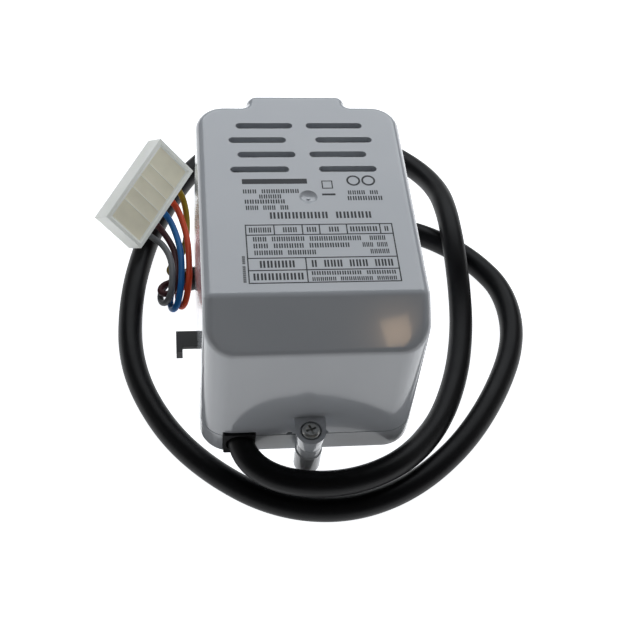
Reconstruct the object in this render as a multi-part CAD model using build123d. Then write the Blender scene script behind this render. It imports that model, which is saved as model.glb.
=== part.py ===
from build123d import *
from math import atan2, cos, degrees, pi, radians, sin, sqrt, tan
import os

# Frame: millimetres, +X right, +Y to the back, +Z up.
# The origin is on the drive spindle's axis, in the face that rests on the valve body.

# Casing
WIDTH = 62.0
LENGTH = 86.8
FRONT_Y = -39.4
BACK_Y = FRONT_Y + LENGTH
MID_Y = FRONT_Y + LENGTH / 2
CORNER_R = 9.0
BASE_Z = 10.0
FLOOR_TOP_Z = 11.6
SEAM_Z = 18.3
SEAM_GAP = 0.35
TOP_Z = 66.0
WALL = 2.0
DRAFT_DEG = 1.1
TAB_WIDTH = 31.5
TAB_DEPTH = 4.8
TAB_TIP_R = 3.9
TAB_ROOT_R = 0.7
SLOPE_RUN = 13.5
SLOPE_DROP = 10.0
EDGE_R = 3.0
LIP_HEIGHT = 2.0
LIP_THICK = 1.1
LIP_GAP = 0.15

# Vents and gate mark in the cover's top
VENT_LENGTH = 16.6
VENT_WIDTH = 2.3
VENT_PITCH = 5.95
VENT_FIRST_Y = 37.1
VENT_OFFSETS = (10.3, 12.6, 10.3, 12.6)
GATE_MARK_Y = 8.4
GATE_MARK_R = 2.3

# Cover screw lug and the post under it
LUG_X = -0.5
LUG_Y = FRONT_Y - 4.2
LUG_TOP_Z = 27.0
LUG_BOTTOM_Z = 21.4
LUG_BOTTOM_R = 3.55
LUG_FLARE_DEG = 8.0
SCREW_HEAD_R = 2.7
SCREW_HEAD_H = 2.0
SCREW_SEAT_Z = 25.7
SCREW_SHANK_R = 1.45
SCREW_END_Z = 13.0
POST_R = 3.55
POST_STEP_R = 3.85
POST_STEP_Z = 17.7

# Valve register under the base, and the drive spindle
REGISTER_R = 17.0
REGISTER_BORE_R = 13.0
SPINDLE_R = 3.0
SPINDLE_BOTTOM_Z = 1.5
SPINDLE_TOP_Z = 33.0
SPINDLE_FLAT = 2.2
BUSH_R = 5.0
RUNNING_GAP = 0.05
FIXING_X = 23.0
FIXING_HOLE_R = 2.1
FIXING_Y = 22.0

# Gear plate and its pillars
PLATE_Z = 30.0
PLATE_THICK = 1.2
PILLARS = ((24.5, -15.0), (24.5, 36.0), (-24.5, 36.0), (-24.6, 2.5))
PILLAR_R = 3.0
PLATE_SCREW_R = 1.2

# Gears: module, tooth counts and places
SECTOR_MODULE = 1.0
SECTOR_TEETH = 40
PINION_TEETH = 10
SECTOR_Z = (22.0, 24.4)
TRAIN_MODULE = 0.5
WHEEL_TEETH = 36
TRAIN_PINION_TEETH = 12
OUTPUT_Y = SECTOR_MODULE * (SECTOR_TEETH + PINION_TEETH) / 2
TRAIN_CENTRES = TRAIN_MODULE * (WHEEL_TEETH + TRAIN_PINION_TEETH) / 2
ROTOR_Y = OUTPUT_Y - 14.0
IDLER_X = -sqrt(TRAIN_CENTRES**2 - 7.0**2)
IDLER_Y = OUTPUT_Y - 7.0
LEVER_TEETH = 18
LEVER_PITCH_R = SECTOR_MODULE * LEVER_TEETH / 2
LEVER_GEAR_Z = (17.4, 19.2)

# Motor
HOUSING_TOP_Z = 41.4
HOUSING_WALL = 1.2
OUTPUT_SHAFT_R = 1.8
ROTOR_SHAFT_R = 1.0
MOTOR_SCREW_X = 25.2
MOTOR_SCREW_Y = ROTOR_Y + 12.5
EAR_THICK = 1.8
BOBBIN_Z = (42.0, 58.5)
BOBBIN_R = (12.0, 13.4, 21.5)
BOBBIN_FLANGE = 1.0
CAN_R = 23.0
CAN_TOP_Z = 61.0
CAN_SHEET = 0.8

# Manual lever
LEVER_WIDTH = 5.8
LEVER_CENTRE_Y = -4.9
LEVER_END_X = -37.3
LEVER_BOTTOM_Z = 17.5
LEVER_THICK = 1.5
LEVER_TRAVEL = LEVER_PITCH_R * radians(60.0)
LEVER_CLEAR = 0.3

# Switch
SWITCH_X = (14.7, 24.9)
SWITCH_Y = (-9.8, 10.0)
SWITCH_Z = (11.8, 18.0)
SWITCH_SCREW_X = SWITCH_X[0] + 7.9
SWITCH_SCREW_Y = (-6.0, 6.5)
SWITCH_SCREW_R = 1.1
ARM_PIVOT = (13.0, -8.6)
ARM_Z = (13.2, 16.6)
PLUNGER_Y = ARM_PIVOT[1] + 5.5
PLUNGER_Z = 14.9
PLUNGER_X = 14.65
CAM_Z = (12.9, 16.9)
CAM_REST_R = 7.6
CAM_RISE = 1.5

# Cord and its five cores
CORD_R = 3.8
CORE_R = 1.05
CORE_RING_R = 1.95
CORE_STRAIGHT = 2.3
CORE_SEATING = 3.0
CORD_EXIT_X = -20.0
CORD_EXIT_Z = 15.6
GROMMET_FACE_Y = FRONT_Y - 0.8
CORD_ROUTE = [
    (-20.0, -27.0, 15.6),
    (-20.0, -36.5, 15.6),
    (-18.9, -43.0, 15.1),
    (-14.6, -48.3, 14.3),
    (-7.4, -51.7, 13.4),
    (3.0, -52.9, 12.6),
    (14.2, -51.4, 11.8),
    (25.2, -46.6, 10.6),
    (34.4, -38.9, 8.3),
    (43.6, -26.6, 5.0),
    (51.2, -10.0, 3.8),
    (55.6, 7.0, 3.8),
    (57.0, 21.0, 4.6),
    (56.0, 34.0, 13.0),
    (55.4, 53.5, 13.2),
    (54.6, 66.0, 5.2),
    (50.0, 79.5, 3.8),
    (38.0, 93.0, 3.8),
    (20.0, 101.0, 3.8),
    (0.0, 102.0, 3.8),
    (-18.0, 94.0, 3.8),
    (-31.0, 81.5, 3.8),
    (-40.6, 64.0, 3.8),
    (-47.8, 44.0, 3.8),
    (-52.0, 21.0, 3.8),
    (-51.6, -3.5, 3.8),
    (-42.6, -25.5, 3.8),
    (-29.2, -41.4, 3.8),
    (-11.0, -53.6, 3.8),
    (9.0, -57.0, 3.8),
    (28.4, -51.6, 3.8),
    (46.6, -38.4, 3.8),
    (61.6, -19.6, 3.8),
    (72.6, 2.0, 3.8),
    (73.2, 22.5, 3.8),
    (65.0, 36.2, 3.8),
    (54.0, 46.0, 3.8),
    (40.0, 52.4, 3.8),
    (23.0, 52.8, 3.8),
    (6.5, 46.5, 3.8),
    (-10.0, 38.5, 3.8),
    (-22.5, 33.6, 3.8),
    (-33.5, 30.3, 3.8),
]

# Each core: where it sits in the jacket, its way in the connector, and its route between
CORE_PLAN = {
    "grey": {"seat_deg": 344, "way": 2, "route": [
        (-40.2, 29.9, 2.6), (-42.4, 26.2, 2.0), (-42.1, 21.9, 2.6), (-40.3, 19.9, 4.8),
        (-38.7, 21.3, 8.1), (-38.1, 27.0, 9.9), (-38.5, 34.5, 10.0), (-41.4, 41.5, 9.6)]},
    "brown": {"seat_deg": 128, "way": 1, "route": [
        (-39.4, 28.0, 4.9), (-42.2, 26.6, 4.8), (-42.2, 24.0, 5.0), (-39.9, 22.8, 5.6),
        (-37.6, 24.2, 6.6), (-36.9, 28.2, 7.7), (-36.8, 33.5, 7.8), (-37.4, 40.5, 8.2)]},
    "blue": {"seat_deg": 272, "way": 0, "route": [
        (-38.4, 28.2, 1.3), (-39.3, 23.6, 1.3), (-38.6, 18.9, 2.2), (-37.0, 17.8, 5.4),
        (-35.7, 21.3, 8.8), (-35.1, 28.5, 10.0), (-35.2, 37.0, 10.6), (-37.2, 46.5, 11.0)]},
    "orange": {"seat_deg": 200, "way": -1, "route": [
        (-36.6, 26.3, 2.3), (-36.4, 22.1, 1.6), (-35.4, 19.4, 2.9), (-34.0, 19.3, 6.3),
        (-32.9, 24.5, 9.3), (-32.6, 32.0, 9.9), (-32.9, 42.0, 10.6), (-34.9, 51.5, 11.6)]},
    "green_yellow": {"seat_deg": 56, "way": -2, "route": [
        (-38.3, 31.2, 5.6), (-39.5, 33.5, 5.3), (-37.5, 36.5, 5.2), (-33.9, 41.2, 6.2),
        (-32.6, 52.0, 9.6)]},
}

# Grommet, its notch in the front wall, and the clamp inside the casing
GROMMET_X = (-24.5, -15.5)
GROMMET_TOP_Z = 20.1
NOTCH_X = (-24.7, -15.3)
NOTCH_TOP_Z = 20.3
CLAMP_Y = -31.5
CLAMP_TOP_Z = 20.6
CLAMP_SCREW_X = (-25.1, -14.9)
CLAMP_SCREW_R = 0.9

# Leads inside the casing
LEAD_R = 0.8
LEAD_ROUTES = (
    [(-18.1, -27.0, 16.0), (-14.0, -24.0, 15.0), (4.0, -23.5, 14.4), (14.0, -18.5, 17.4),
     (20.5, -9.4, 20.2), (26.0, -7.4, 19.4), (26.5, -7.0, 15.85)],
    [(-19.8, -27.0, 17.5), (-17.0, -20.5, 20.0), (-4.0, -20.5, 26.0), (6.0, -20.5, 33.0),
     (6.5, -15.5, 40.5)],
    [(-21.8, -27.0, 16.4), (-21.5, -19.5, 20.5), (-12.0, -17.6, 27.0), (-5.5, -20.0, 33.0),
     (-5.0, -15.5, 40.5)],
)

# Connector: its centre, long axis, wire-side axis and size
CONNECTOR_AT = (-46.7, 55.2, 19.0)
CONNECTOR_LONG = (-0.53, -0.81, -0.25)
CONNECTOR_OUT = (0.65, -0.20, -0.73)
CONNECTOR_SIZE = (33.4, 16.3, 7.8)
WAYS = 5
WAY_PITCH = 5.0
CAVITY = 3.4


def ring(outer, inner, z0, z1, x=0.0, y=0.0):
    """A plain ring, or a disc where inner is zero."""
    body = Pos(x, y, z0) * extrude(Circle(outer), z1 - z0)
    if inner > 0:
        body -= Pos(x, y, z0) * extrude(Circle(inner), z1 - z0)
    return body


def slab(x0, x1, y0, y1, z0, z1):
    """A box between two corners."""
    size = Box(x1 - x0, y1 - y0, z1 - z0)
    return Pos((x0 + x1) / 2, (y0 + y1) / 2, (z0 + z1) / 2) * size


def polygon(points):
    """A flat face from its corner points."""
    return make_face(Polyline(*points, close=True))


def join(pieces):
    """One shape holding several separate solids."""
    return Compound(children=list(pieces))


def save(shape, node):
    """Write one node's STEP file."""
    if isinstance(shape, ShapeList):
        shape = join(shape)
    export_step(shape, f"parts/{node}.step")


def casing_outline(inset):
    """Plan outline of the casing: a rounded rectangle with the back tab."""
    main = Pos(0, MID_Y) * Rectangle(WIDTH - 2 * inset, LENGTH - 2 * inset)
    tab_y = BACK_Y + TAB_DEPTH / 2 - inset
    tab = Pos(0, tab_y - 2) * Rectangle(TAB_WIDTH - 2 * inset, TAB_DEPTH + 4)
    outline = main + tab
    corners = outline.vertices()
    outer = [v for v in corners if abs(v.X) > TAB_WIDTH / 2 + 2]
    tips = [v for v in corners if abs(v.X) < TAB_WIDTH / 2 + 2 and v.Y > BACK_Y + 1]
    roots = [v for v in corners if abs(v.X) < TAB_WIDTH / 2 + 2 and v.Y < BACK_Y + 1]
    outline = fillet(outer, CORNER_R - inset)
    tip_r = max(TAB_TIP_R - inset, 0.3)
    root_r = min(TAB_ROOT_R + inset, TAB_DEPTH - tip_r - 0.2)
    outline = fillet([v for v in outline.vertices() if near(v, tips)], tip_r)
    outline = fillet([v for v in outline.vertices() if near(v, roots)], root_r)
    return outline


def near(vertex, others):
    """Whether a vertex lies on one of the others."""
    return any((vertex.center() - other.center()).length < 0.01 for other in others)


def slope_cut(offset):
    """Wedge that takes the front top edge away, moved in by offset."""
    run = SLOPE_RUN + 30
    drop = SLOPE_DROP + 30
    angle = atan2(SLOPE_DROP, SLOPE_RUN)
    shift = offset / cos(angle)
    back_y = FRONT_Y + SLOPE_RUN
    front = (FRONT_Y - 30, TOP_Z - shift - (back_y - FRONT_Y + 30) * tan(angle))
    rear = (back_y + 30, TOP_Z - shift + 30 * tan(angle))
    high = (FRONT_Y - 30, TOP_Z + drop + run)
    wedge = Plane.YZ * polygon([front, rear, high])
    return extrude(wedge, 50, both=True)


def cover_form(inset, bottom_z):
    """The cover's outer or inner form, without its openings."""
    height = TOP_Z - inset - bottom_z
    form = extrude(Pos(0, 0, bottom_z) * casing_outline(inset), height, taper=DRAFT_DEG)
    form -= slope_cut(inset)
    top = [e for e in form.edges() if e.center().Z > TOP_Z - SLOPE_DROP - inset - 1.5]
    return fillet(top, EDGE_R if inset == 0 else 1.0)


def screw_lug():
    """Lug on the cover's front wall that holds the cover screw."""
    round_end = Pos(LUG_X, LUG_Y) * Circle(LUG_BOTTOM_R)
    neck = Pos(LUG_X, LUG_Y + 3) * Rectangle(2 * LUG_BOTTOM_R, 6)
    height = LUG_TOP_Z - LUG_BOTTOM_Z
    lug = extrude(Pos(0, 0, LUG_BOTTOM_Z) * (round_end + neck), height, taper=-LUG_FLARE_DEG)
    return lug - slab(-10, 10, FRONT_Y + 1.2, 10, 10, 40)


def cover():
    """Moulded cover with vents, gate mark, screw lug and its notches."""
    seam = SEAM_Z + SEAM_GAP
    shell = cover_form(0, seam) - cover_form(WALL, seam - 1)
    for row, offset in enumerate(VENT_OFFSETS):
        y = VENT_FIRST_Y - row * VENT_PITCH
        for side in (-1, 1):
            slot = SlotOverall(VENT_LENGTH, VENT_WIDTH)
            shell -= extrude(Pos(side * offset, y, TOP_Z - WALL - 1) * slot, WALL + 2)
    shell -= Pos(0.3, GATE_MARK_Y, TOP_Z + 3.6) * Sphere(4.4)
    shell += Pos(0.3, GATE_MARK_Y, TOP_Z - 0.9) * Cylinder(0.45, 0.9)
    shell += screw_lug()
    shell -= ring(1.75, 0, 10, 40, LUG_X, LUG_Y)
    shell -= ring(SCREW_HEAD_R + 0.35, 0, SCREW_SEAT_Z, 40, LUG_X, LUG_Y)
    shell -= slab(*NOTCH_X, FRONT_Y - 1, FRONT_Y + 3, 10, NOTCH_TOP_Z)
    for side in (-1, 1):
        x = LUG_X + side * 5.2
        shell -= slab(x - 0.7, x + 0.7, FRONT_Y - 1, FRONT_Y + 3, 18, SEAM_Z + 1.4)
    lever_y0 = LEVER_CENTRE_Y - LEVER_WIDTH / 2 - LEVER_TRAVEL - LEVER_CLEAR
    lever_y1 = LEVER_CENTRE_Y + LEVER_WIDTH / 2 + LEVER_CLEAR
    slot_top = LEVER_BOTTOM_Z + LEVER_THICK + LEVER_CLEAR
    shell -= slab(-40, -25, lever_y0, lever_y1, 10, slot_top)
    return shell


def cover_screw():
    """Pan-head screw with a cross recess."""
    x, y = LUG_X, LUG_Y
    head = ring(SCREW_HEAD_R, 0, SCREW_SEAT_Z, SCREW_SEAT_Z + SCREW_HEAD_H, x, y)
    head = fillet(head.edges().sort_by(Axis.Z)[-1], 1.1)
    shank = ring(SCREW_SHANK_R, 0, SCREW_END_Z, SCREW_SEAT_Z, x, y)
    screw = head + shank
    for angle in (20, 110):
        blade = Rot(0, 0, angle) * Box(3.0, 0.62, 2.4)
        screw -= Pos(x, y, SCREW_SEAT_Z + SCREW_HEAD_H) * blade
    return screw


def base():
    """Moulded base: floor, walls, lip, pillars, screw post and valve register."""
    tray = extrude(Pos(0, 0, BASE_Z) * casing_outline(0), SEAM_Z - BASE_Z)
    bottom = tray.faces().sort_by(Axis.Z)[0]
    tray = fillet(bottom.edges(), 0.9)
    inner = extrude(Pos(0, 0, FLOOR_TOP_Z) * casing_outline(WALL + LIP_THICK), 20)
    lip_outline = casing_outline(WALL + LIP_GAP)
    lip = extrude(Pos(0, 0, SEAM_Z - 1) * lip_outline, 1 + LIP_HEIGHT)
    tray = tray + lip - inner
    tray += ring(REGISTER_R, 0, 0, BASE_Z + 0.5)
    tray -= ring(REGISTER_BORE_R, 0, -1, BASE_Z - 0.4)
    tray -= ring(BUSH_R, 0, 5, 20)
    for x, y in PILLARS:
        tray += ring(PILLAR_R, 0, FLOOR_TOP_Z - 0.5, PLATE_Z, x, y)
        tray -= ring(PLATE_SCREW_R + 0.05, 0, PLATE_Z - 9, PLATE_Z + 1, x, y)
    tray += ring(POST_R, 0, BASE_Z, LUG_BOTTOM_Z - 0.25, LUG_X, LUG_Y)
    tray += ring(POST_STEP_R, 0, BASE_Z, POST_STEP_Z, LUG_X, LUG_Y)
    tray += slab(LUG_X - 2.6, LUG_X + 2.6, LUG_Y, FRONT_Y + 1, BASE_Z, SEAM_Z)
    tray -= ring(SCREW_SHANK_R + 0.05, 0, SCREW_END_Z - 1.5, 30, LUG_X, LUG_Y)
    tray -= slab(*NOTCH_X, FRONT_Y - 1, FRONT_Y + 3.6, FLOOR_TOP_Z, 30)
    lever_y0 = LEVER_CENTRE_Y - LEVER_WIDTH / 2 - LEVER_TRAVEL - LEVER_CLEAR
    lever_y1 = LEVER_CENTRE_Y + LEVER_WIDTH / 2 + LEVER_CLEAR
    tray -= slab(-40, -25, lever_y0, lever_y1, LEVER_BOTTOM_Z - LEVER_CLEAR, 30)
    tray += rack_guides()
    for side in (-1, 1):
        tray -= ring(FIXING_HOLE_R, 0, 5, 15, side * FIXING_X, FIXING_Y)
    for x in CLAMP_SCREW_X:
        tray -= ring(CLAMP_SCREW_R + 0.02, 0, BASE_Z + 0.6, 15, x, CLAMP_Y)
    for y in SWITCH_SCREW_Y:
        tray -= ring(SWITCH_SCREW_R + 0.02, 0, BASE_Z + 0.6, 15, SWITCH_SCREW_X, y)
    return tray


def rack_guides():
    """Two ribs on the floor that carry and guide the lever's rack."""
    carry = slab(-13.6, -11.6, -19, 16, FLOOR_TOP_Z - 0.3, LEVER_BOTTOM_Z - 0.1)
    fence = slab(-15.2, -13.9, 1.5, 16, FLOOR_TOP_Z - 0.3, LEVER_BOTTOM_Z + 1.2)
    return carry + fence


def spindle_bush():
    """Flanged bush in the base floor."""
    return ring(BUSH_R, SPINDLE_R + RUNNING_GAP, BASE_Z - 0.4, FLOOR_TOP_Z + 0.6)


def drive_spindle():
    """Upright spindle with two flats on its lower end."""
    shaft = ring(SPINDLE_R, 0, SPINDLE_BOTTOM_Z, SPINDLE_TOP_Z)
    for side in (-1, 1):
        x0, x1 = sorted((side * SPINDLE_FLAT, side * 5))
        shaft -= slab(x0, x1, -5, 5, 0, 7.0)
    shaft -= ring(4, SPINDLE_R - 0.4, 31.9, 32.5)
    return chamfer(shaft.edges().group_by(Axis.Z)[-1], 0.4)


def tooth_outline(module, teeth):
    """Straight-flanked tooth seen along the gear's axis, centred on +X."""
    pitch_r = module * teeth / 2
    tip_r = pitch_r + 0.78 * module
    root_r = pitch_r - 1.15 * module
    half_pitch_angle = 0.40 * pi / teeth
    lean = tan(radians(22.0))
    half_tip = pitch_r * half_pitch_angle - (tip_r - pitch_r) * lean
    half_root = pitch_r * half_pitch_angle + (pitch_r - root_r) * lean * 0.55
    inner = root_r - 0.5 * module
    return [(inner, half_root), (root_r, half_root), (pitch_r, pitch_r * half_pitch_angle),
            (tip_r, half_tip), (tip_r, -half_tip), (pitch_r, -pitch_r * half_pitch_angle),
            (root_r, -half_root), (inner, -half_root)]


def toothed_wheel(module, teeth, z0, z1, bore=0, first_deg=0, count=None):
    """Wheel with count teeth from first_deg on, or all its teeth, and a round bore."""
    root_r = module * (teeth / 2 - 1.15)
    disc = Circle(root_r)
    tooth = polygon(tooth_outline(module, teeth))
    step = 360.0 / teeth
    for index in range(count or teeth):
        disc += Rot(0, 0, first_deg + index * step) * tooth
    wheel = Pos(0, 0, z0) * extrude(disc, z1 - z0)
    if bore > 0:
        wheel -= ring(bore, 0, z0 - 1, z1 + 1)
    return wheel


def sector_gear():
    """Sector that the motor's pinion drives, with a lightening slot."""
    start = 90 - 8 * 360 / SECTOR_TEETH
    wheel = toothed_wheel(SECTOR_MODULE, SECTOR_TEETH, *SECTOR_Z, SPINDLE_R, start, 10)
    reach = 60
    keep = polygon([(0, -9), (reach, reach * tan(radians(start - 7))), (reach, reach),
                    (reach * sin(radians(-15)), reach), (-9, 0)])
    sheet = Pos(0, 0, SECTOR_Z[0] - 1) * extrude(keep, SECTOR_Z[1] - SECTOR_Z[0] + 2)
    hub = ring(7.0, SPINDLE_R, SECTOR_Z[0] - 2.4, SECTOR_Z[1] + 0.6)
    web = (wheel & sheet) + hub
    middle = radians(58)
    web -= ring(2.6, 0, 20, 30, 12.5 * cos(middle), 12.5 * sin(middle))
    web -= ring(1.6, 0, 20, 30, 12.5 * cos(middle + 0.5), 12.5 * sin(middle + 0.5))
    return web


def lever_gear():
    """Toothed wheel on the spindle that meshes with the lever's rack."""
    return toothed_wheel(SECTOR_MODULE, LEVER_TEETH, *LEVER_GEAR_Z, SPINDLE_R)


def switch_cam():
    """Snail cam whose radius grows over the spindle's turn."""
    steps = 8
    points = []
    for index in range(steps + 1):
        angle = radians(-70 + 80 * index / steps)
        grow = CAM_RISE * min(max(-angle / radians(60), -0.15), 1.15)
        points.append(((CAM_REST_R + grow) * cos(angle), (CAM_REST_R + grow) * sin(angle)))
    edge = Spline(*points)
    close = Polyline(points[-1], (0, 6), (-6, 0), (0, -6), points[0])
    face = make_face([edge, close]) + Circle(6)
    cam = Pos(0, 0, CAM_Z[0]) * extrude(face, CAM_Z[1] - CAM_Z[0])
    return cam - ring(SPINDLE_R, 0, 10, 20)


def circlip():
    """Spring clip in the spindle's groove above the gear plate."""
    clip = ring(4.4, SPINDLE_R - 0.38, 31.95, 32.45)
    return clip - slab(-1.4, 1.4, 0, 6, 31, 33)


def return_spring():
    """Torsion spring round the spindle between the sector and the gear plate."""
    coil = Helix(pitch=1.15, height=3.45, radius=5.0)
    wire = sweep(Plane(coil @ 0, z_dir=coil % 0) * Circle(0.4), path=coil, is_frenet=True)
    return Pos(0, 0, 25.6) * wire


def output_shaft():
    """Motor output: pinion below the gear plate, shaft through it."""
    pinion = toothed_wheel(SECTOR_MODULE, PINION_TEETH, 21.6, 26.5)
    pinion = Rot(0, 0, 270 + 18) * pinion
    shaft = ring(OUTPUT_SHAFT_R, 0, 26.5, 39.6)
    return Pos(0, OUTPUT_Y, 0) * (pinion + shaft)


def output_wheel():
    """Wheel on the output shaft inside the gearbox."""
    wheel = toothed_wheel(TRAIN_MODULE, WHEEL_TEETH, 33.0, 35.0, OUTPUT_SHAFT_R)
    aim = degrees(atan2(IDLER_Y - OUTPUT_Y, IDLER_X))
    return Pos(0, OUTPUT_Y, 0) * Rot(0, 0, aim) * wheel


def idler_gear():
    """Two-step idler: small teeth below, large wheel above."""
    back = degrees(atan2(OUTPUT_Y - IDLER_Y, -IDLER_X))
    small = toothed_wheel(TRAIN_MODULE, TRAIN_PINION_TEETH, 32.6, 36.0)
    small = Rot(0, 0, back + 180 / TRAIN_PINION_TEETH) * small
    ahead = degrees(atan2(ROTOR_Y - IDLER_Y, -IDLER_X))
    large = toothed_wheel(TRAIN_MODULE, WHEEL_TEETH, 36.0, 38.0)
    large = Rot(0, 0, ahead) * large
    return Pos(IDLER_X, IDLER_Y, 0) * (small + large - ring(1.05, 0, 30, 40))


def idler_axle():
    """Fixed pin that the idler turns on."""
    return ring(1.0, 0, PLATE_Z + PLATE_THICK, 39.6, IDLER_X, IDLER_Y)


def rotor_shaft():
    """Rotor shaft with its small driving teeth."""
    teeth = toothed_wheel(TRAIN_MODULE, TRAIN_PINION_TEETH, 35.6, 38.6)
    aim = degrees(atan2(IDLER_Y - ROTOR_Y, IDLER_X)) + 180 / TRAIN_PINION_TEETH
    shaft = ring(ROTOR_SHAFT_R, 0, 32.0, 59.6)
    return Pos(0, ROTOR_Y, 0) * (Rot(0, 0, aim) * teeth + shaft)


def rotor_magnet():
    """Ring magnet on the rotor shaft."""
    return ring(11.0, ROTOR_SHAFT_R, 44.0, 56.5, 0, ROTOR_Y)


def gear_plate():
    """Pressed steel plate that carries the motor above and the gears below."""
    plate = Pos(0, 12.0, PLATE_Z) * extrude(RectangleRounded(55.5, 60.0, 4), PLATE_THICK)
    plate -= ring(SPINDLE_R + RUNNING_GAP, 0, 25, 35)
    plate -= ring(OUTPUT_SHAFT_R + RUNNING_GAP, 0, 25, 35, 0, OUTPUT_Y)
    for x, y in PILLARS:
        plate -= ring(PLATE_SCREW_R + 0.25, 0, 25, 35, x, y)
    for side in (-1, 1):
        plate -= ring(1.3, 0, 25, 35, side * MOTOR_SCREW_X, MOTOR_SCREW_Y)
    return plate - slab(-29, -12, -25, -12, 25, 35)


def small_screw(x, y, seat_z, depth, shank_r, head_r, head_h):
    """Pan-head screw standing on a seat."""
    head = ring(head_r, 0, seat_z, seat_z + head_h, x, y)
    head = fillet(head.edges().sort_by(Axis.Z)[-1], head_h * 0.45)
    slot = Pos(x, y, seat_z + head_h) * Box(2 * head_r, 0.5, head_h * 0.8)
    return head + ring(shank_r, 0, seat_z - depth, seat_z, x, y) - slot


def plate_screws():
    """Four screws that hold the gear plate to the pillars."""
    seat = PLATE_Z + PLATE_THICK
    return join(small_screw(x, y, seat, 8.0, PLATE_SCREW_R, 2.4, 1.6) for x, y in PILLARS)


def housing_outline(inset):
    """Plan outline of the gearbox: two circles and their tangents."""
    return make_hull((Pos(0, ROTOR_Y) * Circle(CAN_R + 0.4 - inset)).edges()
                     + (Pos(0, OUTPUT_Y + 1.5) * Circle(12.5 - inset)).edges())


def gearbox_housing():
    """Moulded gearbox case, open below, with two fixing ears."""
    bottom = PLATE_Z + PLATE_THICK
    case = extrude(Pos(0, 0, bottom) * housing_outline(0), HOUSING_TOP_Z - bottom)
    inner = Pos(0, 0, bottom) * housing_outline(HOUSING_WALL)
    hollow = extrude(inner, HOUSING_TOP_Z - 1.4 - bottom)
    top = bottom + EAR_THICK
    for side in (-1, 1):
        x0, x1 = sorted((side * 18, side * MOTOR_SCREW_X))
        case += ring(2.7, 0, bottom, top, side * MOTOR_SCREW_X, MOTOR_SCREW_Y)
        case += slab(x0, x1, MOTOR_SCREW_Y - 2.5, MOTOR_SCREW_Y + 2.5, bottom, top)
    case -= hollow
    case -= ring(OUTPUT_SHAFT_R + RUNNING_GAP, 0, 39.0, 39.65, 0, OUTPUT_Y)
    for side in (-1, 1):
        case -= ring(1.15, 0, 30, 34, side * MOTOR_SCREW_X, MOTOR_SCREW_Y)
    case -= ring(ROTOR_SHAFT_R + RUNNING_GAP, 0, 30, 50, 0, ROTOR_Y)
    return case


def motor_screws():
    """Two screws through the gearbox ears."""
    seat = PLATE_Z + PLATE_THICK + EAR_THICK
    return join(small_screw(side * MOTOR_SCREW_X, MOTOR_SCREW_Y, seat, 4.2, 1.05, 2.1, 1.3)
                for side in (-1, 1))


def motor_can():
    """Drawn steel can over the stator."""
    can = ring(CAN_R, 0, HOUSING_TOP_Z, CAN_TOP_Z, 0, ROTOR_Y)
    can = fillet(can.edges().sort_by(Axis.Z)[-1], 1.6)
    can -= ring(CAN_R - CAN_SHEET, 0, HOUSING_TOP_Z - 1, CAN_TOP_Z - CAN_SHEET, 0, ROTOR_Y)
    boss = ring(3.2, ROTOR_SHAFT_R + RUNNING_GAP, CAN_TOP_Z - 3, CAN_TOP_Z - CAN_SHEET, 0, ROTOR_Y)
    return can + boss


def stator_bobbin():
    """Flanged bobbin that carries the winding."""
    z0, z1 = BOBBIN_Z
    bore, sleeve_r, flange_r = BOBBIN_R
    sleeve = ring(sleeve_r, bore, z0, z1, 0, ROTOR_Y)
    low = ring(flange_r, bore, z0, z0 + BOBBIN_FLANGE, 0, ROTOR_Y)
    high = ring(flange_r, bore, z1 - BOBBIN_FLANGE, z1, 0, ROTOR_Y)
    return sleeve + low + high


def stator_winding():
    """Copper winding on the bobbin."""
    z0 = BOBBIN_Z[0] + BOBBIN_FLANGE + RUNNING_GAP
    z1 = BOBBIN_Z[1] - BOBBIN_FLANGE - RUNNING_GAP
    return ring(BOBBIN_R[2] - 0.9, BOBBIN_R[1] + RUNNING_GAP, z0, z1, 0, ROTOR_Y)


def switch_body():
    """Microswitch body lying on the base floor."""
    body = slab(*SWITCH_X, *SWITCH_Y, *SWITCH_Z)
    body = chamfer(body.edges().filter_by(Axis.Z), 0.5)
    for y in SWITCH_SCREW_Y:
        body -= ring(SWITCH_SCREW_R + 0.1, 0, 5, 25, SWITCH_SCREW_X, y)
    return body - Pos(SWITCH_X[0], PLUNGER_Y, PLUNGER_Z) * Rot(0, 90, 0) * Cylinder(0.95, 5)


def switch_plunger():
    """Push pin of the microswitch."""
    return Pos(PLUNGER_X, PLUNGER_Y, PLUNGER_Z) * Rot(0, 90, 0) * Cylinder(0.88, 1.9)


def switch_screws():
    """Two screws through the microswitch into the floor."""
    depth = SWITCH_Z[1] - BASE_Z - 0.8
    return join(small_screw(SWITCH_SCREW_X, y, SWITCH_Z[1], depth, SWITCH_SCREW_R, 1.9, 1.1)
                for y in SWITCH_SCREW_Y)


def switch_terminals():
    """Three solder tags on the microswitch."""
    tags = []
    for y in (-7.0, 0.2, 7.0):
        tag = slab(SWITCH_X[1], SWITCH_X[1] + 2.6, y - 1.3, y + 1.3, 14.5, 15.0)
        tags.append(tag - ring(0.5, 0, 10, 20, SWITCH_X[1] + 1.5, y))
    return join(tags)


def switch_arm():
    """Spring-steel arm that the cam pushes against the plunger."""
    x, y = ARM_PIVOT
    blade = slab(x - 0.25, x + 0.25, y, y + 8.6, *ARM_Z)
    eye = ring(0.9, 0.45, *ARM_Z, x, y)
    fork = slab(x - 2.0, x + 0.25, y + 8.4, y + 8.8, *ARM_Z)
    fork -= slab(x - 3, x - 0.8, y + 8, y + 9, ARM_Z[0] + 0.7, ARM_Z[1] - 0.7)
    cheeks = ring(0.8, 0, *ARM_Z, x - 1.6, y + 8.7)
    cheeks -= slab(x - 4, x, y + 7, y + 11, 13.8, 16.0)
    return blade - ring(0.9, 0, 13, 17, x, y) + eye + fork + cheeks


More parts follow.
